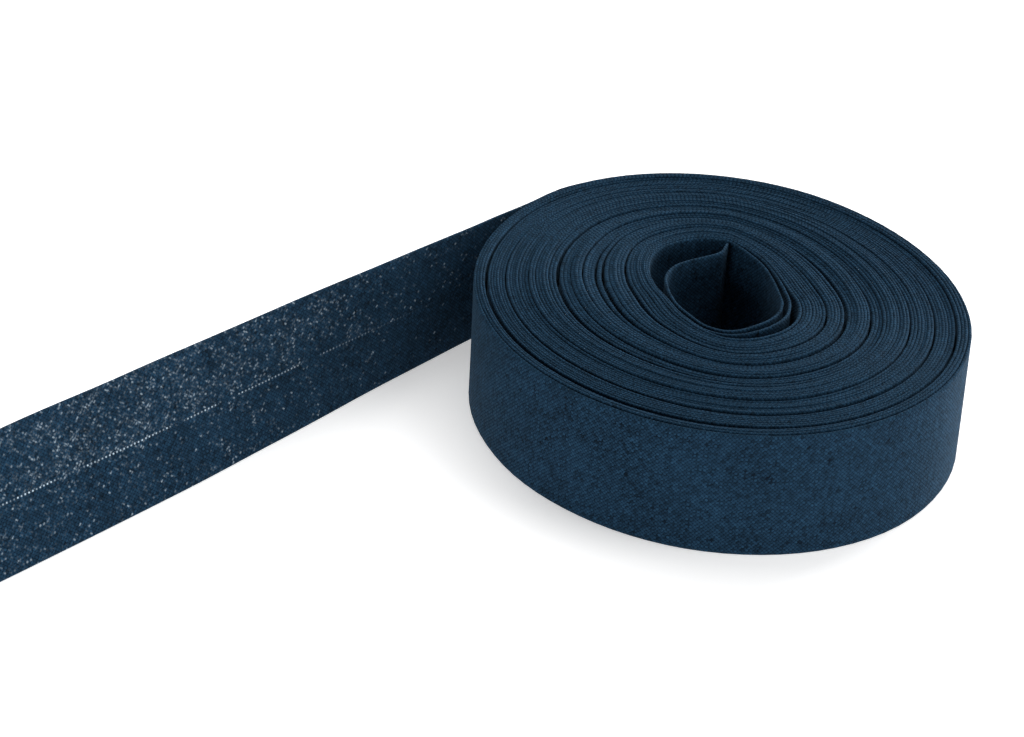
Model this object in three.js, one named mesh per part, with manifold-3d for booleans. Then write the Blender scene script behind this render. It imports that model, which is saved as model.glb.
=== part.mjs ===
// A roll of folded cotton bias tape. It lies flat, slightly oval and loosely wound round an empty,
// drop-shaped middle, and its outer end runs off straight, standing on one fold and leaning outwards.
// Millimetres, +Z up. The origin is the middle of the whole part's base.

import * as THREE from 'three';
import { mergeVertices } from 'three/addons/utils/BufferGeometryUtils.js';
import Module from 'manifold-3d';

const wasm = await Module();
wasm.setup();

// The tape.
const TAPE_WIDTH = 20; // folded width, so also the roll's height
const SHEET = 1; // thickness of the loose end and of the innermost turn
const CLEARANCE = 0.3; // gap between the two solids

// The roll's outline, about the roll's own centre. Bearings are in degrees, from +X towards +Y.
const ROLL_CENTRE = { x: 41.44, y: -3.71 };
const ROLL_RADIUS = 35.15; // mean reach of the outermost turn
const OVAL = { share: 0.0485, bearing: 97 };
const EGG = { share: 0.0034, bearing: 48 };
const LEAVING_BEARING = 90; // where the outermost turn leaves the roll
const LAST_STEP = SHEET + CLEARANCE; // how far the outermost turn stands out where it leaves
const STEP_FACE = 0.4; // degrees that the end face of that turn takes

// The empty middle: how far out the innermost turn's wall and the turn behind it lie at each bearing.
// The innermost turn starts at the point of the drop, at bearing 37, and comes back to it.
const MIDDLE = [
  { bearing: 0, hole: 10.4, second: 11.1 },
  { bearing: 18, hole: 12.4, second: 13.1 },
  { bearing: 30, hole: 14.3, second: 14.8 },
  { bearing: 37, hole: 15.6, second: 15.5 },
  { bearing: 40, hole: 12.5, second: 15.7 },
  { bearing: 50, hole: 11.0, second: 16.0 },
  { bearing: 66, hole: 10.3, second: 15.6 },
  { bearing: 84, hole: 9.9, second: 14.4 },
  { bearing: 100, hole: 9.0, second: 12.1 },
  { bearing: 118, hole: 7.6, second: 9.6 },
  { bearing: 142, hole: 6.6, second: 7.4 },
  { bearing: 182, hole: 6.7, second: 7.5 },
  { bearing: 210, hole: 8.2, second: 9.0 },
  { bearing: 230, hole: 8.9, second: 9.7 },
  { bearing: 259, hole: 8.6, second: 9.4 },
  { bearing: 287, hole: 8.9, second: 9.7 },
  { bearing: 307, hole: 9.0, second: 9.7 },
  { bearing: 327, hole: 8.9, second: 9.7 },
  { bearing: 346, hole: 9.4, second: 10.2 },
];
const DROP_POINT = 3; // row of MIDDLE where the innermost turn starts and ends
const INNERMOST_HEIGHT = TAPE_WIDTH - 0.3;

// The slit between the second turn and the third, widest halfway.
const SLIT = { from: 236, to: 320, behind: 0.8, width: 1.3 };

// The grooves between groups of turns on the top. share is the way from the second turn, 0, to the
// outside, 1, and side is the bearing at which a groove is deepest. rise is how far the group of
// turns just outside the groove stands above or below the rest.
const GROOVES = [
  { share: 0.175, depth: 1.5, side: 225, rise: 0.15 },
  { share: 0.26, depth: 0.6, side: 250, rise: -0.2 },
  { share: 0.36, depth: 0.7, side: 110, rise: 0.1 },
  { share: 0.45, depth: 1.3, side: 200, rise: -0.15 },
  { share: 0.565, depth: 0.9, side: 260, rise: 0.2 },
  { share: 0.69, depth: 0.8, side: 230, rise: -0.1 },
  { share: 0.815, depth: 1.5, side: 190, rise: 0.1 },
  { share: 0.895, depth: 1.8, side: 180, rise: -0.1 },
  { share: 0.965, depth: 0.7, side: 215, rise: 0 },
];
const GROOVE_HALF = 0.015; // half of a groove's width, as a share
const FOLD_ROUND = 0.3; // how far the folds round off at a groove and at the rim
const LEAST_DEPTH = 0.35; // share of a groove's depth that is left on its shallow side
const WAVE = 0.12; // how far each group of turns waves up and down
const COLUMNS = 90; // steps round the roll

// The loose end.
const TAIL_LENGTH = 116;
const TAIL_START = 0.6; // how far past the leaving place it begins, clear of the turn's end face
const TAIL_STEPS = 44;
const TAIL_DRIFT = { out: 0.4, over: 10 }; // step outwards, and the length over which it is made
const TAIL_LEAN = { angle: 19.65, over: 97 }; // lean outwards, and the length over which it grows
const TAIL_BOW = { most: 0.76, from: 25 }; // bow back towards the roll's side, and where it begins
const SEAM = { half: 0.35, depth: 0.45 }; // where the two folded-in edges meet
const FOLD_SIDES = 4; // flat faces round each fold

const NAVY = 0x1b3144;
const radians = THREE.MathUtils.degToRad;

function clothMaterial() {
  return new THREE.MeshStandardMaterial({ color: NAVY, roughness: 0.95, metalness: 0 });
}

function fromBearing(reach, bearing) {
  return new THREE.Vector2(reach * Math.cos(radians(bearing)), reach * Math.sin(radians(bearing)));
}

// A column of MIDDLE at any bearing, as a smooth closed line through its rows.
function middleReach(name, bearing) {
  const count = MIDDLE.length;
  const turned = THREE.MathUtils.euclideanModulo(bearing, 360);
  const next = MIDDLE.findIndex((row) => row.bearing > turned);
  const after = next < 0 ? count : next;
  const at = (index) => {
    const row = MIDDLE[(index + count) % count];
    return { bearing: row.bearing + 360 * Math.floor(index / count), reach: row[name] };
  };
  const slope = (index) => {
    const rise = at(index + 1).reach - at(index - 1).reach;
    return rise / (at(index + 1).bearing - at(index - 1).bearing);
  };
  const low = at(after - 1);
  const high = at(after);
  const span = high.bearing - low.bearing;
  const along = (turned - low.bearing) / span;
  const back = 1 - along;
  const ease = along * along * (3 - 2 * along);
  const bend = along * back * span * (back * slope(after - 1) - along * slope(after));
  return THREE.MathUtils.lerp(low.reach, high.reach, ease) + bend;
}

function outline(bearing) {
  const oval = OVAL.share * Math.cos(2 * radians(bearing - OVAL.bearing));
  const egg = EGG.share * Math.cos(3 * radians(bearing - EGG.bearing));
  return ROLL_RADIUS * (1 + oval + egg);
}

// A point's reach from its share of the way out. turned runs from 0, just past the place where the
// outermost turn leaves the roll, to 1, back at the same bearing and one turn further out. Only the
// outermost group follows that last step.
function reachAt(share, bearing, turned) {
  const last = GROOVES[GROOVES.length - 1].share;
  const step = Math.max(0, (share - last) / (1 - last)) * LAST_STEP * (turned - 0.5);
  return THREE.MathUtils.lerp(middleReach('second', bearing), outline(bearing), share) + step;
}

function column(index) {
  const last = index === 0 || index === COLUMNS;
  const share = last ? 1 : (index - 1) / (COLUMNS - 1);
  const bearing = LEAVING_BEARING + (last ? 360 : STEP_FACE + (360 - STEP_FACE) * share);
  return { bearing, turned: share };
}

// One group of turns at the top, from its outer edge to its inner edge, as profile points whose
// height depends on the bearing.
function turnGroup(inner, outer, order) {
  const rise = inner.rise;
  const top = (bearing) => TAPE_WIDTH + rise + WAVE * Math.sin(radians(2 * bearing + 70 * order));
  const edge = (bearing) => top(bearing) - FOLD_ROUND;
  return [
    { share: outer.share - GROOVE_HALF, height: edge },
    { share: (inner.share + outer.share) / 2, height: top },
    { share: inner.share + GROOVE_HALF, height: edge },
  ];
}

function grooveFloor(groove) {
  const height = (bearing) => {
    const near = (1 + Math.cos(radians(bearing - groove.side))) / 2;
    return TAPE_WIDTH - groove.depth * THREE.MathUtils.lerp(LEAST_DEPTH, 1, near);
  };
  return { share: groove.share, height };
}

// The profile of the wound ring: up the outside, inwards over the groups, down the inside.
function ringProfile() {
  const foot = () => 0;
  const edges = [{ share: 0, rise: 0 }, ...GROOVES, { share: 1 }];
  const points = [
    { share: 0, height: foot },
    { share: 1 - GROOVE_HALF / 2, height: foot },
    { share: 1, height: () => FOLD_ROUND },
    { share: 1, height: () => TAPE_WIDTH - 2 * FOLD_ROUND },
  ];
  for (let order = edges.length - 2; order >= 0; order -= 1) {
    points.push(...turnGroup(edges[order], edges[order + 1], order));
    if (order > 0) points.push(grooveFloor(edges[order]));
  }
  points.push({ share: 0, height: () => TAPE_WIDTH - 2 * FOLD_ROUND });
  points.push(points[0]);
  return points;
}

// A lathed ring whose points are then laid between the second turn and the outermost one.
function woundRing() {
  const profile = ringProfile();
  const flat = profile.map((point) => new THREE.Vector2(1 + point.share, 0));
  const ring = new THREE.LatheGeometry(flat, COLUMNS);
  const place = ring.attributes.position;
  for (let index = 0; index < place.count; index += 1) {
    const { bearing, turned } = column(Math.floor(index / profile.length));
    const point = profile[index % profile.length];
    const spot = fromBearing(reachAt(point.share, bearing, turned), bearing);
    place.setXYZ(index, spot.x, spot.y, point.height(bearing));
  }
  return ring;
}

// The innermost turn: a thin wall round the hole, from the drop's point and back to it.
function innermostTurn() {
  const count = MIDDLE.length;
  const rows = Array.from({ length: count + 1 }, (_, step) => MIDDLE[(DROP_POINT + step) % count]);
  const route = new THREE.SplineCurve(rows.map((row) => fromBearing(row.hole, row.bearing)));
  const steps = 3 * count;
  const wall = [];
  const back = [];
  for (let step = 0; step <= steps; step += 1) {
    const spot = route.getPoint(step / steps);
    const along = route.getTangent(step / steps);
    wall.push(spot);
    back.push(new THREE.Vector2(spot.x + SHEET * along.y, spot.y - SHEET * along.x));
  }
  const section = new THREE.Shape([...back, ...wall.slice(1).reverse()]);
  return new THREE.ExtrudeGeometry(section, { depth: INNERMOST_HEIGHT, bevelEnabled: false });
}

// The narrow slit, as the body that is cut away for it.
function slitCut() {
  const near = [];
  const far = [];
  const steps = 14;
  for (let step = 0; step <= steps; step += 1) {
    const bearing = THREE.MathUtils.lerp(SLIT.from, SLIT.to, step / steps);
    const reach = middleReach('second', bearing) + SLIT.behind;
    near.push(fromBearing(reach, bearing));
    far.push(fromBearing(reach + SLIT.width * Math.sin((Math.PI * step) / steps), bearing));
  }
  const section = new THREE.Shape([...far, ...near.slice(1, -1).reverse()]);
  const cut = new THREE.ExtrudeGeometry(section, { depth: 2 * TAPE_WIDTH, bevelEnabled: false });
  return cut.translate(0, 0, -TAPE_WIDTH / 2);
}

function toSolid(geometry) {
  const bare = geometry.clone();
  bare.deleteAttribute('normal');
  bare.deleteAttribute('uv');
  const merged = mergeVertices(bare, 1e-4);
  const mesh = new wasm.Mesh({
    numProp: 3,
    vertProperties: new Float32Array(merged.attributes.position.array),
    triVerts: new Uint32Array(merged.index.array),
  });
  return new wasm.Manifold(mesh);
}

function toGeometry(solid) {
  const mesh = solid.getMesh();
  const geometry = new THREE.BufferGeometry();
  geometry.setAttribute('position', new THREE.BufferAttribute(mesh.vertProperties, 3));
  geometry.setIndex(new THREE.BufferAttribute(mesh.triVerts, 1));
  geometry.computeVertexNormals();
  return geometry;
}

function woundRoll() {
  const ring = toSolid(woundRing()).subtract(toSolid(slitCut()));
  const roll = new THREE.Mesh(toGeometry(ring.add(toSolid(innermostTurn()))), clothMaterial());
  roll.name = 'wound_roll';
  return roll;
}

// The folded tape's section, lying in x (thickness) and y (height): a fold at each edge, a plain
// outer face at +x, and a seam down the middle of the face at -x.
function tapeSection() {
  const half = SHEET / 2;
  const middle = TAPE_WIDTH / 2;
  const points = [];
  for (const end of [0, 1]) {
    const centre = end === 0 ? half : TAPE_WIDTH - half;
    for (let side = 0; side <= FOLD_SIDES; side += 1) {
      const turn = Math.PI * (end - 1 + side / FOLD_SIDES);
      points.push(new THREE.Vector2(half * Math.cos(turn), centre + half * Math.sin(turn)));
    }
  }
  points.push(new THREE.Vector2(-half, middle + SEAM.half));
  points.push(new THREE.Vector2(-half + SEAM.depth, middle));
  points.push(new THREE.Vector2(-half, middle - SEAM.half));
  return new THREE.Shape(points);
}

// The loose end: the section swept away from the roll, leaning more and more outwards. Each place
// along it is lifted so that its lower fold just touches the ground.
function looseEnd() {
  const sweep = { depth: TAIL_LENGTH, steps: TAIL_STEPS, bevelEnabled: false };
  const band = new THREE.ExtrudeGeometry(tapeSection(), sweep);
  const place = band.attributes.position;
  const start = fromBearing(reachAt(1, LEAVING_BEARING, 1) - SHEET / 2, LEAVING_BEARING);
  for (let index = 0; index < place.count; index += 1) {
    const along = TAIL_LENGTH - place.getZ(index);
    const lean = radians(TAIL_LEAN.angle) * THREE.MathUtils.smoothstep(along, 0, TAIL_LEAN.over);
    const across = place.getX(index);
    const up = place.getY(index);
    const drift = TAIL_DRIFT.out * THREE.MathUtils.smoothstep(along, 0, TAIL_DRIFT.over);
    const bowed = Math.max(0, along - TAIL_BOW.from) / (TAIL_LENGTH - TAIL_BOW.from);
    const bow = TAIL_BOW.most * Math.sin(Math.PI * bowed) ** 2;
    place.setXYZ(
      index,
      start.x - TAIL_START - along,
      start.y + drift - bow + across * Math.cos(lean) + up * Math.sin(lean),
      up * Math.cos(lean) - across * Math.sin(lean) + (SHEET / 2) * (1 - Math.cos(lean)),
    );
  }
  const tail = new THREE.Mesh(band, clothMaterial());
  tail.name = 'loose_end';
  return tail;
}

const part = new THREE.Group();
const wound = new THREE.Group();
wound.add(woundRoll(), looseEnd());
wound.position.set(ROLL_CENTRE.x, ROLL_CENTRE.y, 0);
part.add(wound);

export default part;
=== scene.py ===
# %% [markdown]
# # A roll of cotton bias tape
# Bias tape is one long strip of plain-weave cotton, cut at 45 degrees to its threads, with both long
# edges folded in to the middle of one face. This script winds that strip into a loose roll that lies
# on its side, and lets its outer end run off straight, standing on one fold.
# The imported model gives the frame: two plain solids, `wound_roll` and `loose_end`, at their real size.

# %% Load the frame
import bisect
import math
import random

import bpy
from mathutils import Matrix, Vector


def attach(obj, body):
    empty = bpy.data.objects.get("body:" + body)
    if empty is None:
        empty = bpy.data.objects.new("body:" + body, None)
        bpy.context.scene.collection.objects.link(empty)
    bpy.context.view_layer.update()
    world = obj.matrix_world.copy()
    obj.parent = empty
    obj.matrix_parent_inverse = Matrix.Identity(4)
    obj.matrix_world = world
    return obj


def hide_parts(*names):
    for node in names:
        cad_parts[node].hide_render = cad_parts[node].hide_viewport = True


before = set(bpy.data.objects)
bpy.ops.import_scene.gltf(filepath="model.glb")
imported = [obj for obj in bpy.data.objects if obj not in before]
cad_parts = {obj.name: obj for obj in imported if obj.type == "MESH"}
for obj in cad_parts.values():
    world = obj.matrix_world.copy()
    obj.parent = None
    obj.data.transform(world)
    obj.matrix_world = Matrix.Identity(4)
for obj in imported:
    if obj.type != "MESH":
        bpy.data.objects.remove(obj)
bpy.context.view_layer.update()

MM = 0.001  # Blender works in metres, and every size below is in millimetres times MM

# %% [markdown]
# ## The camera
# The photograph looks down on the roll at 34 degrees, from far enough away that its two sides stay
# almost parallel. A camera is easiest to place by what it looks at: start at the roll's middle, go
# back along the line of sight, and turn the camera to that line. A long lens then gives the same
# mild perspective.

# %% Camera
ROLL_MIDDLE = Vector((41.44, -3.71, 0)) * MM
CAMERA_OFFSET = Vector((-275.40, -222.42, 244.44)) * MM
HEADING = 43.70  # degrees from +X towards +Y
LOOKS_DOWN = 34.067
TILT = 2.462
LENS = 101.95  # on a sensor 36 wide


def camera_turn():
    """The camera's rotation: first its own tilt, then up from looking straight down, then round."""
    sideways = Matrix.Rotation(math.radians(HEADING - 90), 4, "Z")
    upwards = Matrix.Rotation(math.radians(90 - LOOKS_DOWN), 4, "X")
    return sideways @ upwards @ Matrix.Rotation(math.radians(TILT), 4, "Z")


lens = bpy.data.cameras.new("camera")
lens.lens = LENS
lens.sensor_width = 36
lens.clip_end = 20
camera = bpy.data.objects.new("camera", lens)
bpy.context.scene.collection.objects.link(camera)
camera.matrix_world = Matrix.Translation(ROLL_MIDDLE + CAMERA_OFFSET) @ camera_turn()
bpy.context.scene.camera = camera
print("camera at", [round(value / MM, 1) for value in camera.location])

# %% [markdown]
# ## Nodes from Python
# Shader and geometry trees are easier to read as sums than as boxes and wires. `Value` wraps one
# socket, and Python's operators on it add Math nodes. Every other node comes from `Tree.node`, which
# takes the node's type, its settings, and what its sockets hold: a number, a colour or another value.

# %% A small class for node trees
class Value:
    """One socket of a tree. The operators add Math nodes to that tree."""

    def __init__(self, tree, socket):
        self.tree = tree
        self.socket = socket

    def other_output(self, index):
        return Value(self.tree, self.socket.node.outputs[index])

    def maths(self, operation, *numbers):
        return self.tree.node("ShaderNodeMath", {"operation": operation}, dict(enumerate(numbers)))

    def __add__(self, other):
        return self.maths("ADD", self, other)

    def __radd__(self, other):
        return self.maths("ADD", other, self)

    def __sub__(self, other):
        return self.maths("SUBTRACT", self, other)

    def __rsub__(self, other):
        return self.maths("SUBTRACT", other, self)

    def __mul__(self, other):
        return self.maths("MULTIPLY", self, other)

    def __rmul__(self, other):
        return self.maths("MULTIPLY", other, self)

    def __truediv__(self, other):
        return self.maths("DIVIDE", self, other)

    def __rtruediv__(self, other):
        return self.maths("DIVIDE", other, self)

    def __abs__(self):
        return self.maths("ABSOLUTE", self)

    def __floor__(self):
        return self.maths("FLOOR", self)

    def ramp(self, low, high):
        """0 at low, 1 at high, with soft ends."""
        inputs = {"Value": self, "From Min": low, "From Max": high}
        return self.tree.node("ShaderNodeMapRange", {"interpolation_type": "SMOOTHSTEP"}, inputs)


class Tree:
    """A node tree that is filled by code."""

    def __init__(self, node_tree):
        self.node_tree = node_tree

    def node(self, kind, settings=None, inputs=None, output=0):
        """Adds a node: settings first, then its inputs. Gives back one of its outputs."""
        made = self.node_tree.nodes.new(kind)
        for name, setting in (settings or {}).items():
            setattr(made, name, setting)
        for name, content in (inputs or {}).items():
            socket = self.find(made.inputs, name)
            if isinstance(content, Value):
                self.node_tree.links.new(content.socket, socket)
            else:
                socket.default_value = content
        return Value(self, self.find(made.outputs, output)) if made.outputs else made

    def find(self, sockets, name):
        """A socket by its place, or by its name among those that the settings leave in use."""
        if isinstance(name, int):
            return sockets[name]
        return next(socket for socket in sockets if socket.name == name and socket.enabled)


# %% Helpers for numbers, colours and vectors
def between(share, low, high):
    """low where the share is 0, high where it is 1."""
    return low + (high - low) * share


def mixed(tree, share, first, second):
    """A colour between two others."""
    colours = {"Factor": share, "A": first, "B": second}
    return tree.node("ShaderNodeMix", {"data_type": "RGBA"}, colours, "Result")


def vector_maths(tree, operation, first, second, output=0):
    settings = {"operation": operation}
    return tree.node("ShaderNodeVectorMath", settings, {0: first, 1: second}, output)


def scaled(tree, vector, factor):
    settings = {"operation": "SCALE"}
    return tree.node("ShaderNodeVectorMath", settings, {0: vector, "Scale": factor})


def new_material(name):
    """A material without any nodes yet, and its tree."""
    material = bpy.data.materials.new(name)
    material.use_nodes = True
    material.node_tree.nodes.clear()
    return material, Tree(material.node_tree)


# %% [markdown]
# ## The plain weave
# In a plain weave each thread goes over one crossing thread and under the next. The strip is cut on
# the bias, so both sets of threads run at 45 degrees to its edges. The tape's UV map holds metres
# along the strip and across it, so the two sets of threads are the sum and the difference of those
# two numbers, counted in threads. An image would blur close up. These few sums stay sharp.

# %% Threads at 45 degrees
THREAD_PITCH = 0.43 * MM
THREAD_WANDER = 0.35  # of a pitch, to each side
WANDER_SIZE = 5 * MM
THREAD_DIVE = 0.55  # how far a thread sinks where it goes under the next one, of its height


def thread_counts(tree, along, across):
    """How many threads of each set lie before this place, with a slow wander as in real cloth."""
    place = tree.node("ShaderNodeCombineXYZ", None, {0: along, 1: across})
    noise = tree.node("ShaderNodeTexNoise", {"noise_dimensions": "3D"},
                      {"Vector": place, "Scale": 1 / WANDER_SIZE, "Detail": 1.0}, "Color")
    rising_drift = tree.node("ShaderNodeSeparateColor", None, {0: noise})
    falling_drift = rising_drift.other_output(1)
    count = 1 / (math.sqrt(2) * THREAD_PITCH)
    rising = (along + across) * count + (rising_drift - 0.5) * (2 * THREAD_WANDER)
    falling = (along - across) * count + (falling_drift - 0.5) * (2 * THREAD_WANDER)
    return rising, falling


def crown(count):
    """The round top of one thread: 1 along its middle and 0 at its sides."""
    middle = count.maths("FRACT", count) * 2 - 1
    return 1 - middle * middle


def weave(rising, falling):
    """The woven surface's height, from 0 in the gaps to 1 on a thread, and which set is on top."""
    rising_crown = crown(rising)
    falling_crown = crown(falling)
    crossing = math.floor(rising) + math.floor(falling)
    falling_on_top = crossing.maths("FLOORED_MODULO", crossing, 2)
    rising_top = rising_crown * (falling_crown * THREAD_DIVE + (1 - THREAD_DIVE))
    falling_top = falling_crown * (rising_crown * THREAD_DIVE + (1 - THREAD_DIVE))
    return rising_top * (1 - falling_on_top) + falling_top * falling_on_top, falling_on_top


print("threads in a centimetre", round(10 * MM / THREAD_PITCH))

# %% [markdown]
# ## The cotton
# The cloth is dyed a dark navy. What makes it look like cotton is small: each thread takes the dye a
# little differently, the gaps between threads are painted darker as shade, the dye is slightly
# cloudy, and the pressed folds are rubbed paler, with a painted highlight along them. A faint sheen
# stands for the fuzz of the fibres. The weave's height goes to a Bump node, because the threads are
# far too many to be modelled.

# %% Cotton material
NAVY = (0.0124, 0.0395, 0.0760)
NAVY_GAP_SHADE = (0.0022, 0.0080, 0.0170)
NAVY_RUB_AND_HIGHLIGHT = (0.0200, 0.0560, 0.0950)
GAP_SHADE_TOP = 0.6  # of a thread's height, up to which the painted shade of the gaps shows
THREAD_RELIEF = 0.07 * MM
TAPE_WIDTH = 20 * MM
FOLD_AT = TAPE_WIDTH / 2  # the folds lie this far to each side of the strip's middle line
FOLD_RUB_AND_HIGHLIGHT = (0.1 * MM, 0.45 * MM)  # from the fold: where its pale rub and painted highlight begin to fade, and their end
RUB_AND_HIGHLIGHT_STRENGTH = 0.30
SLUBS_PER_THREAD = 0.35  # thicker places for each crossing thread that is passed
THREAD_SPREAD = 2.0  # how much the dye differs from thread to thread
CLOUD_SPREAD = 0.5  # how much it differs from place to place
CLOUD_SIZE = 9 * MM
DYE = 0.65  # how strong the colour is before both differences are added
NOISE_APART = 7.3  # in a noise's own measure, so that neighbouring threads don't share a tone
OTHER_SET = 0.37  # keeps the second set's tones apart from the first's


def thread_tone(tree, rising, falling, falling_on_top):
    """A number round 0.5 that changes from thread to thread and slowly along each thread."""
    tones = []
    for number, run in ((rising, falling), (falling + OTHER_SET, rising)):
        place = tree.node("ShaderNodeCombineXYZ", None,
                          {0: math.floor(number) * NOISE_APART, 1: run * SLUBS_PER_THREAD})
        tones.append(tree.node("ShaderNodeTexNoise", {"noise_dimensions": "2D"},
                               {"Vector": place, "Scale": 1.0, "Detail": 1.0}, "Fac"))
    return tones[0] * (1 - falling_on_top) + tones[1] * falling_on_top


def cotton(name, see_flecks):
    """The navy cotton. see_flecks adds the pinholes through which the loose end lets light pass."""
    material, tree = new_material(name)
    strip = tree.node("ShaderNodeUVMap", {"uv_map": "strip"})
    along = tree.node("ShaderNodeSeparateXYZ", None, {0: strip})
    across = along.other_output(1)
    rising, falling = thread_counts(tree, along, across)
    height, falling_on_top = weave(rising, falling)
    cloud = tree.node("ShaderNodeTexNoise", {"noise_dimensions": "2D"},
                      {"Vector": strip, "Scale": 1 / CLOUD_SIZE, "Detail": 3.0}, "Fac")
    tone = (thread_tone(tree, rising, falling, falling_on_top) - 0.5) * THREAD_SPREAD
    tone = tone + cloud * CLOUD_SPREAD + DYE
    fold = 1 - abs(abs(across) - FOLD_AT).ramp(*FOLD_RUB_AND_HIGHLIGHT)
    # painted shade: the gaps between the threads are darker
    colour = mixed(tree, height.ramp(0.0, GAP_SHADE_TOP), (*NAVY_GAP_SHADE, 1), (*NAVY, 1))
    colour = scaled(tree, colour, tone)
    # rub wear and painted highlight: the thread tops along each fold are paler
    colour = mixed(tree, fold * height * RUB_AND_HIGHLIGHT_STRENGTH, colour, (*NAVY_RUB_AND_HIGHLIGHT, 1))
    if see_flecks:
        colour = flecked(tree, colour, along, across)
    relief = {"Height": height, "Distance": THREAD_RELIEF, "Strength": 0.8}
    bump = tree.node("ShaderNodeBump", None, relief)
    shader = tree.node("ShaderNodeBsdfPrincipled", None, {
        "Base Color": colour,
        "Roughness": 0.95 - height * 0.12,
        "Normal": bump,
        "Specular IOR Level": 0.05,
        "Sheen Weight": 0.12,
        "Sheen Roughness": 0.35,
        "Sheen Tint": (0.35, 0.62, 0.90, 1),
    })
    tree.node("ShaderNodeOutputMaterial", None, {"Surface": shader})
    return material


# %% [markdown]
# ## Light through the loose end
# The loose end stands in the light with white behind it, and its cloth is thin. Where a gap between
# threads of the front layer happens to lie on a gap of the layer behind, white shows through as a
# pale fleck, so the flecks come and go in patches. Between the two folded-in edges there is only one
# layer, and there the gaps make a dotted line. The holes are a tenth of a millimetre, so they are
# worked out from the places of the threads and painted, rather than cut.

# %% Helpers for the pinholes
def gap(rising, falling, size, stretch=1.0):
    """1 at the crossings between threads, falling to 0 at size threads away. stretch is 0 to 2."""
    squares = []
    for count, weight in ((rising, stretch), (falling, 2 - stretch)):
        away = count.maths("FRACT", count + 0.5) - 0.5
        squares.append(away * away * weight)
    reach = squares[0] + squares[1]
    return 1 - reach.maths("SQRT", reach).ramp(size * 0.35, size)


def chance(tree, first, second):
    """A random number from 0 to 1 for each pair. A fraction added to either makes another draw."""
    pair = tree.node("ShaderNodeCombineXYZ", None, {0: first, 1: second})
    settings = {"noise_dimensions": "2D"}
    return tree.node("ShaderNodeTexWhiteNoise", settings, {"Vector": pair}, "Value")


def cloudy(tree, along, across, size, detail, seed):
    """A number that changes slowly over the cloth, mostly between 0.3 and 0.7."""
    place = tree.node("ShaderNodeCombineXYZ", None, {0: along, 1: across, 2: seed})
    inputs = {"Vector": place, "Scale": 1 / size, "Detail": detail}
    return tree.node("ShaderNodeTexNoise", None, inputs, "Fac")


# %% The flecks
FLECK = (0.60, 0.74, 0.86)
FLECK_SIZE = 0.54  # of the distance between two gaps
FLECK_SHIFT = 0.5  # of that distance, how far apart two flecks' places in their gaps can be
FLECK_STRETCH = (0.2, 1.8)  # 1 is round, less is long one way and more is long the other way
FAINT_FLECKS = (0.21, 1.8)  # how white they are, and how rare: a larger number means fewer
BRIGHT_FLECKS = (0.23, 9)
FLECK_FADE_IN = (16 * MM, 76 * MM)  # from the roll: where the painted flecks start to show, and show fully
AT_ROLL = 0.12  # the share of flecks that is left at the roll
LOWER_HALF = 0.28  # the same near the lower fold
HALVES_MEET = (-7 * MM, 5 * MM)  # from the middle line, over which the upper half takes over
BETWEEN_PATCHES = 0.30  # the share between two patches of flecks
PATCH_SIZE = 3 * MM
PATCH_EDGE = (0.36, 0.64)
THICK_THREADS = 0.4  # the share where two thick threads cross
THIN_THREADS = 0.6  # what each of the two adds where it is as thin as can be


def whiteness(tree, luck, share):
    """How white a fleck is. Most are faint and a few are bright. A small share thins them out."""
    faint = FAINT_FLECKS[0] * luck.maths("POWER", luck, FAINT_FLECKS[1] / share)
    bright = BRIGHT_FLECKS[0] * luck.maths("POWER", luck, BRIGHT_FLECKS[1] / share)
    return faint + bright


def flecked(tree, colour, along, across):
    """The cloth's colour with the light that comes through it."""
    rising, falling = thread_counts(tree, along, across)
    crossing = (math.floor(rising + 0.5), math.floor(falling + 0.5))
    shift = (chance(tree, crossing[0], crossing[1] + 0.3) - 0.5) * FLECK_SHIFT
    stretch = between(chance(tree, crossing[0] + 0.6, crossing[1]), *FLECK_STRETCH)
    hole = gap(rising + shift, falling - shift, FLECK_SIZE, stretch)
    # painted light: the flecks and the dotted line fade out towards the roll
    fleck_fade_in = (along - ROUTE_LENGTH).ramp(*FLECK_FADE_IN)
    patch = cloudy(tree, along, across, PATCH_SIZE, 3.0, 3.1).ramp(*PATCH_EDGE)
    half = across.ramp(*HALVES_MEET)
    thin_threads = chance(tree, crossing[0], 7.5) + chance(tree, 3.5, crossing[1])
    share = between(patch, BETWEEN_PATCHES, 1) * between(half, LOWER_HALF, 1)
    share = share * between(fleck_fade_in, AT_ROLL, 1) * (THICK_THREADS + THIN_THREADS * thin_threads)
    shows = hole * whiteness(tree, chance(tree, *crossing), share)
    shows = shows + seam_dots(tree, along, across, hole) * fleck_fade_in
    return mixed(tree, shows.maths("MINIMUM", shows, 1.0), colour, (*FLECK, 1))


# %% The dotted line
SEAM_DOT = 0.44  # size of a dot, of the distance between two gaps
FLAP_EDGE = (2 * FOLD_AT - 0.20 * MM, 2 * FOLD_AT - 0.12 * MM)  # a raw edge, from the middle line
SLIT_BOTTOM = (0.10 * MM, 0.20 * MM)  # what is seen of the outer face between the raw edges
DASH_SIZE = 7 * MM
DASH_EDGE = (0.38, 0.48)
DOT_WHITE = (0.50, 1.30)  # the faintest dot and the brightest


def seam_dots(tree, along, across, hole):
    """The dotted line where the two raw edges meet, over the cloth's single layer."""
    from_middle = abs(across)
    behind = across.maths("SIGN", across) * TAPE_WIDTH - across
    rising, falling = thread_counts(tree, along, behind)
    on_flap = gap(rising, falling, SEAM_DOT) * from_middle.ramp(*FLAP_EDGE)
    on_back = hole * (1 - from_middle.ramp(*SLIT_BOTTOM))
    dashes = cloudy(tree, along, 0.0, DASH_SIZE, 2.0, 9.7).ramp(*DASH_EDGE)
    white = between(chance(tree, math.floor(rising + 0.5), 2.5), *DOT_WHITE)
    return (on_flap + on_back) * dashes * white


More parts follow.
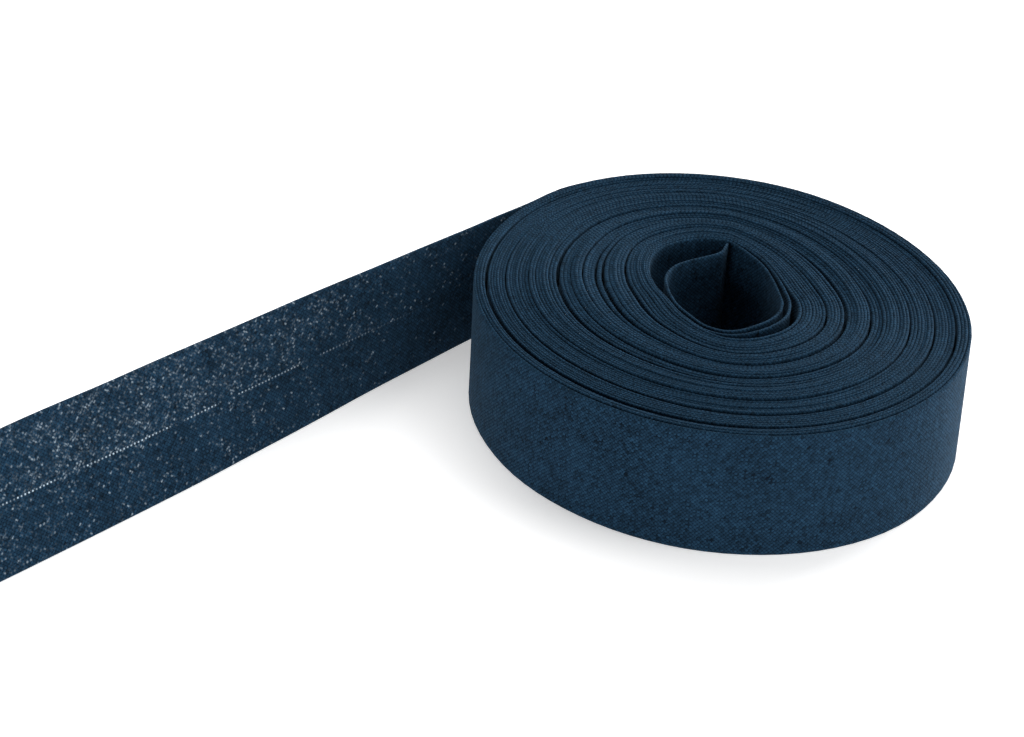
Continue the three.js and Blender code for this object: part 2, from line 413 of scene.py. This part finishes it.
# %% [markdown]
# ## How the tape is wound
# Seen from above, the middle of the tape is one line: a turn round the empty, drop-shaped middle, a
# second turn that leaves a crescent behind the first, and then turn after turn out to the oval rim.
# The rows below were read from the photograph as real distances. The innermost two turns follow them
# directly. All other turns are worked out: between the second turn and the rim, the cloth's thickness
# is stacked up, and the air that is left over is shared out, partly to wider grooves between groups
# of turns and the rest turn by turn.

# %% The first two turns
DROP_POINT = 37  # bearing, in degrees from +X towards +Y; the tape winds outwards as bearings grow
START_REACH = 15.2 * MM  # at the drop's point, where the inner end starts
MEET_REACH = 15.6 * MM  # at the same point, one turn further on
MIDDLE = [  # bearing, reach of the first turn's inner face in mm, the same for the second turn
    (40, 12.5, 15.7),
    (50, 11.0, 16.0),
    (66, 10.3, 15.6),
    (84, 9.9, 14.4),
    (100, 9.0, 12.1),
    (118, 7.6, 9.6),
    (142, 6.6, 7.4),
    (182, 6.5, 7.4),
    (210, 7.9, 8.9),
    (230, 8.6, 9.7),
    (259, 8.4, 9.9),
    (287, 8.8, 10.2),
    (307, 8.9, 10.0),
    (327, 8.7, 9.7),
    (346, 9.3, 10.2),
    (360, 10.4, 11.2),
    (378, 12.4, 13.2),
    (390, 14.3, 14.9),
]
CLOTH = 0.165 * MM  # one layer
TAPE_THICKNESS = 0.36 * MM  # two layers and the air between them
ADVANCE = TAPE_THICKNESS + 0.02 * MM  # how much further out the tape is after one tight turn


def line_through(points):
    """A smooth line through pairs of numbers, as a function of the first of each pair."""
    firsts = [first for first, second in points]

    def slope(index):
        low = points[max(index - 1, 0)]
        high = points[min(index + 1, len(points) - 1)]
        return (high[1] - low[1]) / (high[0] - low[0])

    def line(place):
        index = min(max(bisect.bisect_right(firsts, place) - 1, 0), len(points) - 2)
        low, high = points[index], points[index + 1]
        span = high[0] - low[0]
        share = (place - low[0]) / span
        back = 1 - share
        ease = share * share * (3 - 2 * share)
        bend = share * back * span * (back * slope(index) - share * slope(index + 1))
        return low[1] + (high[1] - low[1]) * ease + bend

    return line


first_rows = [(bearing, first * MM) for bearing, first, second in MIDDLE]
second_rows = [(bearing + 360, second * MM) for bearing, first, second in MIDDLE]
middle_line = line_through([
    (DROP_POINT, START_REACH),
    *first_rows,
    (DROP_POINT + 360, MEET_REACH),
    *second_rows,
    (DROP_POINT + 720, MEET_REACH + ADVANCE),
])
print("the middle's rows", len(MIDDLE))

# %% The rim, the grooves and the slit
ROLL_RADIUS = 35.15 * MM
OVAL = (0.0485, 97)  # share of the radius, bearing of the long way
EGG = (0.0034, 48)  # share of the radius, bearing of the egg's point
TURNS = 49  # beyond the innermost one
LEAVING = 90  # bearing at which the outermost turn leaves the roll
GROOVES = [  # share of the way out, width in mm, bearing where it is widest, rise beyond it in mm
    (0.19, 0.45, 225, 0.10),
    (0.30, 0.35, 320, -0.10),
    (0.36, 0.20, 110, 0.08),
    (0.43, 0.40, 250, -0.10),
    (0.50, 0.45, 180, 0.12),
    (0.66, 0.20, 240, -0.08),
    (0.80, 0.45, 225, -0.08),
    (0.93, 0.80, 205, 0.05),
    (0.985, 0.15, 235, 0.0),
]
SLIT = (206, 328, 1.1 * MM)  # from one bearing to the other, and how wide it is halfway


def cosine(degrees):
    return math.cos(math.radians(degrees))


def sine(degrees):
    return math.sin(math.radians(degrees))


def rim(bearing):
    oval = OVAL[0] * cosine(2 * (bearing - OVAL[1]))
    egg = EGG[0] * cosine(3 * (bearing - EGG[1]))
    return ROLL_RADIUS * (1 + oval + egg)


def smooth(share):
    """0 below 0, 1 above 1 and a soft step between them."""
    share = min(max(share, 0), 1)
    return share * share * (3 - 2 * share)


def core(bearing):
    """The second turn's inner face, without what the tape gains over that turn."""
    turned = (bearing - DROP_POINT) % 360
    return middle_line(DROP_POINT + 360 + turned) - ADVANCE * turned / 360


def slit(bearing):
    """How far the slit pushes out the turns beyond it."""
    start, end, width = SLIT
    share = (bearing % 360 - start) / (end - start)
    return width * math.sin(math.pi * share) if 0 < share < 1 else 0


last_turn = TURNS + (LEAVING - DROP_POINT) / 360
rim_turn = last_turn - 0.5  # the rim's outline is that of the outermost turn, halfway along it


def groove_turn(share, side):
    """The turn at which the groove begins, on the far side of the roll from where it is widest."""
    start = ((side + 180 - DROP_POINT) % 360) / 360
    return round(share * rim_turn - start) + start


grooves = [
    {"turn": groove_turn(share, side), "width": width * MM, "side": side, "rise": rise * MM}
    for share, width, side, rise in GROOVES
]
print("grooves at turns", [round(groove["turn"], 1) for groove in grooves])

# %% [markdown]
# The turns between two grooves aren't evenly spaced either. Most lie tight and some stand a little
# apart, at random from a fixed seed. On the left and at the back the air is mostly in the inner half
# of the roll, and in front it is spread all the way out. The tape fills most of what room it has:
# where there is air, its folds puff up. All this is so at the top. Towards the floor the slit and
# the grooves close and the turns come to lie evenly, so each turn leans a little and hardly any
# white shows through the roll.

# %% Every other turn
FULL_AIR = 6 * MM  # where there is less air than this, the grooves close up
GROOVE_START = 0.3  # of a turn, over which a groove opens
GROOVE_FOOT = 0.1  # width of a groove at the floor, as a share of its width at the top
TIGHT = 0.8  # looseness of a turn that lies against its neighbour
LOOSE = 1.6
FILLED = 0.9  # of a tight turn's room
GROOVE_FAR_SIDE = 0.12  # width of a groove opposite its widest place, as a share of that width
GROOVE_TAPER = 1.5
NEARBY = 0.02  # of the way out, to each side of a turn, over which its room is measured
AIR_AROUND = 270  # the bearing round which the front's row of air holds
AIR = [  # share of the way out, share of the air inside it at the back, the same in front
    (0.0, 0.0, 0.0),
    (0.19, 0.06, 0.19),
    (0.457, 0.66, 0.457),
    (0.80, 0.95, 0.80),
    (1.0, 1.0, 1.0),
]
random.seed(11)
looseness = [random.choice((TIGHT, TIGHT, TIGHT, LOOSE)) for turn in range(TURNS + 2)]
air_before = [0.0]
for share in looseness:
    air_before.append(air_before[-1] + share)
back_air = line_through([(share, back) for share, back, front in AIR])
front_air = line_through([(share, front) for share, back, front in AIR])


def air_inside(share, bearing):
    """The share of the spare air that lies inside this share of the way out."""
    share = min(max(share, 0), 1 + NEARBY)
    front = smooth((1 + cosine(bearing - AIR_AROUND)) / 2)
    return between(front, back_air(share), front_air(share))


def way_out(turn):
    """The share of the way out, counted in turns that take their looseness with them."""
    whole = int(turn)
    before = air_before[whole] + (turn - whole) * looseness[whole]
    end = air_before[int(rim_turn)] + (rim_turn % 1) * looseness[int(rim_turn)]
    return before / end


def groove_width(groove, bearing, air):
    near = (1 + cosine(bearing - groove["side"])) / 2
    share = between(near ** GROOVE_TAPER, GROOVE_FAR_SIDE, 1)
    return groove["width"] * share * min(air / FULL_AIR, 1)


def wound_reach(turn, bearing, opening):
    """How far out the tape's middle lies on a turn, counted from the second one, and its puff.

    opening is 1 at the top. At 0 the slit and all grooves would be closed.
    """
    push = slit(bearing) * opening if turn >= 1 else 0
    inner = core(bearing) + push + TAPE_THICKNESS / 2
    air = rim(bearing) - TAPE_THICKNESS / 2 - inner - TAPE_THICKNESS * rim_turn
    widths = [groove_width(groove, bearing, air) * opening for groove in grooves]
    passed = [smooth((turn - groove["turn"]) / GROOVE_START + 0.5) for groove in grooves]
    opened = sum(width * share for width, share in zip(widths, passed))
    free = air - sum(widths)
    share = way_out(turn) * opening + turn / rim_turn * (1 - opening)
    nearby_air = air_inside(share + NEARBY, bearing) - air_inside(share - NEARBY, bearing)
    room = nearby_air / (2 * NEARBY) * free / rim_turn
    reach = inner + TAPE_THICKNESS * turn + free * air_inside(share, bearing) + opened
    return reach, 1 + FILLED * TIGHT * room / TAPE_THICKNESS


# %% Small differences in height
RIDGE = 0.13 * MM  # the most that a few neighbouring turns stand up or down together
RIDGE_TURNS = 1.6
ridges = [random.uniform(-RIDGE, RIDGE) for ridge in range(int(TURNS / RIDGE_TURNS) + 3)]


def ridge(turn):
    """Neighbouring turns stand up or down together, a few at a time."""
    place = max(turn, 0) / RIDGE_TURNS
    low = int(place)
    return between(smooth(place - low), ridges[low], ridges[low + 1])


def rise_of(turn):
    """How far the group of turns that this one belongs to stands up or down."""
    rise = 0
    before = 0
    for groove in grooves:
        rise += (groove["rise"] - before) * smooth((turn - groove["turn"]) / GROOVE_START + 0.5)
        before = groove["rise"]
    return rise + ridge(turn) * smooth(last_turn - turn)


all_turns = TAPE_THICKNESS * (rim_turn + 1)
spare = [rim(bearing) - core(bearing) - slit(bearing) - all_turns for bearing in range(0, 360, 5)]
print("air between the turns, mm:", round(min(spare) / MM, 2), "to", round(max(spare) / MM, 2))

# %% [markdown]
# ## The route of the tape
# The route is a line of points with three numbers on each: how far the tape leans outwards, how
# puffed up its folds are, and how high the turn stands. A turn that has room, such as the innermost
# one, is puffier than turns that are pressed together.

# %% From the inner end to the rim
START_BEARING = DROP_POINT + 0.4
STEP = 0.25  # degrees
LEAVING_LINE = 36.75 * MM  # how far to the side of the roll's middle the tape leaves it
TAIL_EASE = 16  # degrees over which the outermost turn eases off the roll
FLARE = 0.2 * MM  # the outermost turns stand this much wider at the bottom than at the top
FLARED_TURNS = 12
FREE_PUFF = 1.1  # thickness of the innermost turn, as a share of a pressed one's


def route_point(total):
    """The point at a total bearing, which counts on from turn to turn. It lies at the foot."""
    turn = (total - DROP_POINT) / 360 - 1
    bearing = total % 360
    outwards = Vector((cosine(bearing), sine(bearing), 0))
    if turn < 1:
        puff = FREE_PUFF
        top = middle_line(total) + TAPE_THICKNESS * puff / 2
        foot = top
    else:
        top, puff = wound_reach(turn, bearing, 1.0)
        foot = wound_reach(turn, bearing, GROOVE_FOOT)[0]
        puff = between(smooth((turn - 1) * 2), FREE_PUFF, puff)
    reach = foot + FLARE * smooth((turn - last_turn) / FLARED_TURNS + 1)
    leaving = smooth((total - end_bearing) / TAIL_EASE + 1)
    if leaving > 0:
        reach = between(leaving, reach, LEAVING_LINE / sine(bearing))
        puff = between(leaving, puff, 1)
    place = ROLL_MIDDLE + outwards * reach
    lean = (top - reach) / TAPE_WIDTH * (1 - leaving)
    return {"place": place, "lean": lean, "puff": puff, "rise": rise_of(turn)}


end_bearing = LEAVING + 360 * (TURNS + 1)
wound_steps = round((end_bearing - START_BEARING) / STEP)
step = (end_bearing - START_BEARING) / wound_steps
wound_fine = [route_point(START_BEARING + step * index) for index in range(wound_steps + 1)]
print("fine points round the roll", len(wound_fine))

# %% Thin out the route
LONGEST_STEP = 2.6 * MM
LARGEST_BEND = math.radians(6.2)


def thinned(points):
    """Keeps a point wherever the route has run or turned far enough since the last one kept."""
    kept = [points[0]]
    run = 0
    turned = 0
    for before, here, after in zip(points, points[1:], points[2:]):
        leg = here["place"] - before["place"]
        run += leg.length
        turned += leg.angle(after["place"] - here["place"], 0)
        if run >= LONGEST_STEP or turned >= LARGEST_BEND:
            kept.append(here)
            run = 0
            turned = 0
    return kept + [points[-1]]


def length_of(points):
    legs = zip(points, points[1:])
    return sum((after["place"] - before["place"]).length for before, after in legs)


wound_route = thinned(wound_fine)
ROUTE_LENGTH = length_of(wound_route)
print("points kept", len(wound_route), "wound length in m", round(ROUTE_LENGTH, 3))

# %% The loose end's route
TAIL_LENGTH = 116 * MM
TAIL_STEP = 1 * MM
TAIL_LINE = 37.26 * MM  # how far to the side of the roll's middle it runs
LINE_OVER = 10 * MM  # from the leaving line to the loose end's own line
TAIL_LEAN = math.radians(19.65)
LEAN_OVER = 97 * MM  # the lean is reached this far from the roll
TAIL_BOW = 0.76 * MM
BOW_FROM = 25 * MM


def tail_point(run):
    """The loose end: straight, with a slight bow, and leaning more and more outwards."""
    line = between(smooth(run / LINE_OVER), LEAVING_LINE, TAIL_LINE)
    bow = math.sin(math.pi * max(run - BOW_FROM, 0) / (TAIL_LENGTH - BOW_FROM)) ** 2
    place = ROLL_MIDDLE + Vector((-run, line - TAIL_BOW * bow, 0))
    return {"place": place, "lean": TAIL_LEAN * smooth(run / LEAN_OVER), "puff": 1.0, "rise": 0.0}


tail_count = round(TAIL_LENGTH / TAIL_STEP)
tail_route = [tail_point(TAIL_LENGTH * index / tail_count) for index in range(tail_count + 1)]
TAIL_CLOTH = length_of(tail_route)
print("loose end in mm", round(TAIL_CLOTH / MM, 1))

# %% [markdown]
# ## The folded section
# Cut through, the tape is the strip's own thin section folded like a flat letter C: the outer face,
# a fold at the top and one at the bottom, and two flaps whose raw edges nearly meet halfway up the
# inner face. It is drawn as one closed line, once round the outside of the cloth and back along its
# inside. Each point also knows its place across the strip, which becomes the UV map.

# %% Section of the folded strip
SEAM = 0.03 * MM  # between the two raw edges
FOLD_SIDES = 4  # half round a fold, on the outside
INNER_FOLD_SIDES = 2
FOLD_SUPPORT = 0.5 * MM  # how far the folds' roundness reaches into the flat walls


def fold_arc(radius, height, start, sides):
    """Points round a fold, from the start angle and half a circle on."""
    angles = [start + 180 * side / sides for side in range(sides + 1)]
    return [(radius * cosine(angle), height + radius * sine(angle)) for angle in angles]


def skin(radius, sides):
    """One side of the cloth as (outward, height) points, from one raw edge to the other."""
    half = TAPE_THICKNESS / 2
    middle = TAPE_WIDTH / 2
    return [
        (-radius, middle - SEAM / 2),
        (-radius, half + FOLD_SUPPORT),
        *fold_arc(radius, half, 180, sides),
        (radius, half + FOLD_SUPPORT),
        (radius, middle),
        (radius, TAPE_WIDTH - half - FOLD_SUPPORT),
        *fold_arc(radius, TAPE_WIDTH - half, 0, sides),
        (-radius, TAPE_WIDTH - half - FOLD_SUPPORT),
        (-radius, middle + SEAM / 2),
    ]


def place_across(outward, height):
    """How far from the strip's middle line a point of the section lies."""
    half = TAPE_THICKNESS / 2
    if height < half:
        return -FOLD_AT + outward
    if height > TAPE_WIDTH - half:
        return FOLD_AT - outward
    if outward > 0:
        return height - FOLD_AT
    return -FOLD_AT - height if height < FOLD_AT else 3 * FOLD_AT - height


outside = skin(TAPE_THICKNESS / 2, FOLD_SIDES)
inside = skin(TAPE_THICKNESS / 2 - CLOTH, INNER_FOLD_SIDES)
section_points = [*inside, *reversed(outside)]
print("points in the section", len(section_points))

# %% Lines as meshes
def line_mesh(name, places, closed, numbers):
    """A mesh of edges only, with a float attribute for each entry of numbers."""
    count = len(places)
    edges = [(index, index + 1) for index in range(count - 1)]
    if closed:
        edges.append((count - 1, 0))
    mesh = bpy.data.meshes.new(name)
    mesh.from_pydata(places, edges, [])
    for label, values in numbers.items():
        mesh.attributes.new(label, "FLOAT", "POINT").data.foreach_set("value", values)
    line = bpy.data.objects.new(name, mesh)
    bpy.context.scene.collection.objects.link(line)
    return line


def route_line(name, points):
    numbers = {label: [point[label] for point in points] for label in ("lean", "puff", "rise")}
    return line_mesh(name, [point["place"] for point in points], False, numbers)


# The sweep lays a section's x outwards and its y downwards.
section = line_mesh(
    "folded_section",
    [(outward, -height, 0) for outward, height in section_points],
    True,
    {"across": [place_across(outward, height) for outward, height in section_points]},
)
print("edges in the section", len(section.data.edges))

# %% [markdown]
# ## Sweeping the strip
# A Geometry Nodes tree sweeps the section along the route with Curve to Mesh. Z Up normals keep the
# tape standing on its fold, and the curve's tilt leans it. Then the points are moved a little: turns
# that have room puff up, whole groups of turns stand higher or lower, the upper folds wave by
# themselves, and neighbouring turns sway together. A Cloth simulation of fifty turns would take
# far longer and slide apart. A sweep keeps every turn where the roll has it.

# %% The sweeping tree
TREE_INPUTS = {
    "Section": ("NodeSocketObject", None),
    "Starts at": ("NodeSocketFloat", 0.0),
    "Tape width": ("NodeSocketFloat", TAPE_WIDTH),
    "Fold wave": ("NodeSocketFloat", 0.10 * MM),
    "Wave length": ("NodeSocketFloat", 30 * MM),
    "Sway": ("NodeSocketFloat", 0.10 * MM),
    "Sway size": ("NodeSocketFloat", 14 * MM),
    "Seed": ("NodeSocketFloat", 4.0),
    "Cloth": ("NodeSocketMaterial", None),
}


def sweeping_tree():
    nodes = bpy.data.node_groups.new("sweep_folded_strip", "GeometryNodeTree")
    nodes.interface.new_socket("Route", in_out="INPUT", socket_type="NodeSocketGeometry")
    for name, (kind, value) in TREE_INPUTS.items():
        made = nodes.interface.new_socket(name, in_out="INPUT", socket_type=kind)
        if value is not None:
            made.default_value = value
    nodes.interface.new_socket("Strip", in_out="OUTPUT", socket_type="NodeSocketGeometry")
    tree = Tree(nodes)
    given = nodes.nodes.new("NodeGroupInput")
    swept = swept_strip(tree, lambda name: Value(tree, given.outputs[name]))
    whole = tree.node("GeometryNodeRealizeInstances", None, {"Geometry": swept})
    cloth = Value(tree, given.outputs["Cloth"])
    clothed = tree.node("GeometryNodeSetMaterial", None, {0: whole, "Material": cloth})
    tree.node("NodeGroupOutput", None, {"Strip": clothed})
    return nodes


# %% What the tree does to the strip
def number_on(tree, name):
    """A number that the route's or the section's points carry."""
    settings = {"data_type": "FLOAT"}
    return tree.node("GeometryNodeInputNamedAttribute", settings, {"Name": name}, "Attribute")


def captured(tree, geometry, kind, name, value):
    """Keeps a value on the geometry, so that it can still be read once the shape has changed."""
    made = tree.node_tree.nodes.new("GeometryNodeCaptureAttribute")
    made.capture_items.new(kind, name)
    tree.node_tree.links.new(geometry.socket, made.inputs[0])
    tree.node_tree.links.new(value.socket, made.inputs[1])
    return Value(tree, made.outputs[0]), Value(tree, made.outputs[1])


def swept_strip(tree, given):
    """The strip on its route, with its UV map and its unevenness."""
    route = tree.node("GeometryNodeMeshToCurve", None, {0: given("Route")})
    route = tree.node("GeometryNodeSetCurveNormal", {"mode": "Z_UP"}, {0: route})
    route = tree.node("GeometryNodeSetCurveTilt", None, {0: route, "Tilt": number_on(tree, "lean")})
    run = tree.node("GeometryNodeSplineParameter", None, None, "Length")
    route, run = captured(tree, route, "FLOAT", "run", run)
    middle = tree.node("GeometryNodeInputPosition")
    route, middle = captured(tree, route, "VECTOR", "middle", middle)
    shape = tree.node("GeometryNodeObjectInfo", None, {"Object": given("Section")}, "Geometry")
    shape = tree.node("GeometryNodeMeshToCurve", None, {0: shape})
    strip = tree.node("GeometryNodeCurveToMesh", None, {0: route, 1: shape, "Fill Caps": True})
    along = run + given("Starts at")
    flat = tree.node("ShaderNodeCombineXYZ", None, {0: along, 1: number_on(tree, "across")})
    settings = {"data_type": "FLOAT2", "domain": "CORNER"}
    inputs = {0: strip, "Name": "strip", "Value": flat}
    strip = tree.node("GeometryNodeStoreNamedAttribute", settings, inputs)
    offset = unevenness(tree, given, along, middle)
    return tree.node("GeometryNodeSetPosition", None, {0: strip, "Offset": offset})


LEVEL = (1, 1, 0)  # leaves only the level part of a move
RIPPLE_SPREAD = 3  # a noise stays near its middle, so its differences are stretched


def unevenness(tree, given, along, middle):
    """The small moves that make the wound strip uneven."""
    place = tree.node("GeometryNodeInputPosition")
    up = tree.node("ShaderNodeSeparateXYZ", None, {0: place}, "Z") / given("Tape width")
    level = vector_maths(tree, "MULTIPLY", vector_maths(tree, "SUBTRACT", place, middle), LEVEL)
    puffed = scaled(tree, level, number_on(tree, "puff") - 1)
    waves = along / given("Wave length") + given("Seed")
    ripple = tree.node("ShaderNodeTexNoise", {"noise_dimensions": "1D"},
                       {"W": waves, "Scale": 1.0, "Detail": 1.0}, "Fac")
    lift = (number_on(tree, "rise") + (ripple - 0.5) * given("Fold wave") * RIPPLE_SPREAD) * up
    swaying = scaled(tree, place, 1 / given("Sway size"))
    swaying = tree.node("ShaderNodeTexNoise", {"noise_dimensions": "3D"},
                        {"Vector": swaying, "Scale": 1.0, "Detail": 0.0}, "Color")
    swaying = vector_maths(tree, "SUBTRACT", swaying, (0.5, 0.5, 0.5))
    sway = vector_maths(tree, "MULTIPLY", scaled(tree, swaying, given("Sway") * 2), LEVEL)
    raised = tree.node("ShaderNodeCombineXYZ", None, {2: lift})
    return vector_maths(tree, "ADD", vector_maths(tree, "ADD", puffed, sway), raised)


# %% Sweep both stretches
SHARP_EDGE = math.radians(60)
tree_nodes = sweeping_tree()
print("nodes in the sweeping tree", len(tree_nodes.nodes))


def swept_piece(name, points, starts_at, cloth):
    """Sweeps the section along the points and turns the result into a plain mesh."""
    line = route_line(name + "_route", points)
    modifier = line.modifiers.new("sweep", "NODES")
    modifier.node_group = tree_nodes
    values = {"Section": section, "Starts at": starts_at, "Cloth": cloth}
    for item in tree_nodes.interface.items_tree:
        if item.in_out == "INPUT" and item.name in values:
            modifier[item.identifier] = values[item.name]
    bpy.context.view_layer.update()
    evaluated = line.evaluated_get(bpy.context.evaluated_depsgraph_get())
    mesh = bpy.data.meshes.new_from_object(evaluated)
    line.modifiers.remove(modifier)
    bpy.data.objects.remove(line)
    mesh.name = name
    mesh.shade_smooth()
    mesh.set_sharp_from_angle(angle=SHARP_EDGE)
    piece = bpy.data.objects.new(name, mesh)
    bpy.context.scene.collection.objects.link(piece)
    mesh.calc_loop_triangles()
    maps = [layer.name for layer in mesh.uv_layers]
    print(name, "triangles", len(mesh.loop_triangles), "maps", maps)
    return piece


wound_tape = swept_piece("wound_tape", wound_route, 0.0, cotton("cotton_wound", False))
loose_tape = swept_piece("loose_tape", tail_route, ROUTE_LENGTH, cotton("cotton_loose", True))
bpy.data.objects.remove(section)

# %% [markdown]
# ## Floor and light
# The roll lies on plain white paper under soft light. Two high lights stand behind it and at its
# right, as the picture shows it, and three low ones round it reach the walls of the turns. The paper
# is so bright that it looks even and white, so a faint world light and a glow of the floor itself
# help the lights. The glow is gone under the roll, and weaker in the corner between the roll and the
# loose end, where the real paper lies in their shade.

# %% Floor
PAPER = ((0.90, 0.90, 0.90, 1), (0.93, 0.93, 0.93, 1))
GRAINS = 900  # in a metre
BLACK = (0, 0, 0, 1)
WHITE = (1, 1, 1, 1)
FLOOR_GLOW = 0.48
UNDER_ROLL = (22 * MM, 36 * MM)  # from the roll's middle: where the glow starts, and is full
CORNER = ROLL_MIDDLE + Vector((-22, 33, 0)) * MM  # between the roll and the loose end
ROUND_CORNER = (5 * MM, 32 * MM)  # from that point: where the glow is weakest, and is full
CORNER_GLOW = 0.74  # the share of the glow that is left in the corner
FLOOR_HALF = 4.0  # metres


def far_from(tree, place, point, near, far):
    """0 within the near distance from the point, 1 past the far one."""
    return vector_maths(tree, "DISTANCE", place, point, "Value").ramp(near, far)


def floor_material():
    material, tree = new_material("white_paper")
    place = tree.node("ShaderNodeTexCoord", None, None, "Object")
    inputs = {"Vector": place, "Scale": GRAINS, "Detail": 2.0}
    grain = tree.node("ShaderNodeTexNoise", None, inputs, "Fac")
    corner = between(far_from(tree, place, CORNER, *ROUND_CORNER), CORNER_GLOW, 1)
    glow = far_from(tree, place, ROLL_MIDDLE, *UNDER_ROLL) * corner
    shader = tree.node("ShaderNodeBsdfPrincipled", None, {
        "Base Color": mixed(tree, grain, *PAPER),
        "Roughness": 0.9,
        "Specular IOR Level": 0.1,
        "Emission Color": mixed(tree, glow, BLACK, WHITE),
        "Emission Strength": FLOOR_GLOW,
    })
    tree.node("ShaderNodeOutputMaterial", None, {"Surface": shader})
    return material


corners = [(-1, -1), (1, -1), (1, 1), (-1, 1)]
paper = bpy.data.meshes.new("floor")
paper.from_pydata([(x * FLOOR_HALF, y * FLOOR_HALF, 0) for x, y in corners], [], [(0, 1, 2, 3)])
paper.materials.append(floor_material())
floor = bpy.data.objects.new("floor", paper)
bpy.context.scene.collection.objects.link(floor)
print("floor glow", FLOOR_GLOW, "and in the corner", round(FLOOR_GLOW * CORNER_GLOW, 2))

# %% Lights
WORLD_LIGHT = 0.08
LIGHTS = [  # name, place in metres from the roll's middle, size in metres, power in watts
    ("high_behind", (0.46, 0.39, 1.2), 1.1, 13.5),
    ("high_right", (0.45, -0.7, 1.1), 0.6, 4.6),
    ("low_behind_right", (0.98, 0.0, 0.22), 0.4, 10),
    ("low_front_left", (-0.98, -0.15, 0.2), 0.4, 3.4),
    ("low_right", (0.5, -0.86, 0.15), 0.4, 3.6),
]


def area_light(name, place, size, power):
    """A square light that faces the roll."""
    lamp = bpy.data.lights.new(name, "AREA")
    lamp.size = size
    lamp.energy = power
    light = bpy.data.objects.new(name, lamp)
    bpy.context.scene.collection.objects.link(light)
    light.location = ROLL_MIDDLE + Vector(place)
    light.rotation_euler = (-Vector(place)).to_track_quat("-Z", "Y").to_euler()


world = bpy.data.worlds.new("white_room")
world.use_nodes = True
background = world.node_tree.nodes["Background"]
background.inputs["Color"].default_value = WHITE
background.inputs["Strength"].default_value = WORLD_LIGHT
bpy.context.scene.world = world
for name, place, size, power in LIGHTS:
    area_light(name, place, size, power)
bpy.context.scene.view_settings.view_transform = "Standard"
print("lights", len(LIGHTS), "world light", WORLD_LIGHT)

# %% [markdown]
# ## Attaching each piece
# Both stretches of the one strip ride on the part's only body and take the place of their plain
# solids.

# %% Attach and finish
stretches = ((wound_tape, "wound_roll", ROUTE_LENGTH), (loose_tape, "loose_end", TAIL_CLOTH))
for piece, node, length in stretches:
    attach(piece, "root")
    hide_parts(node)
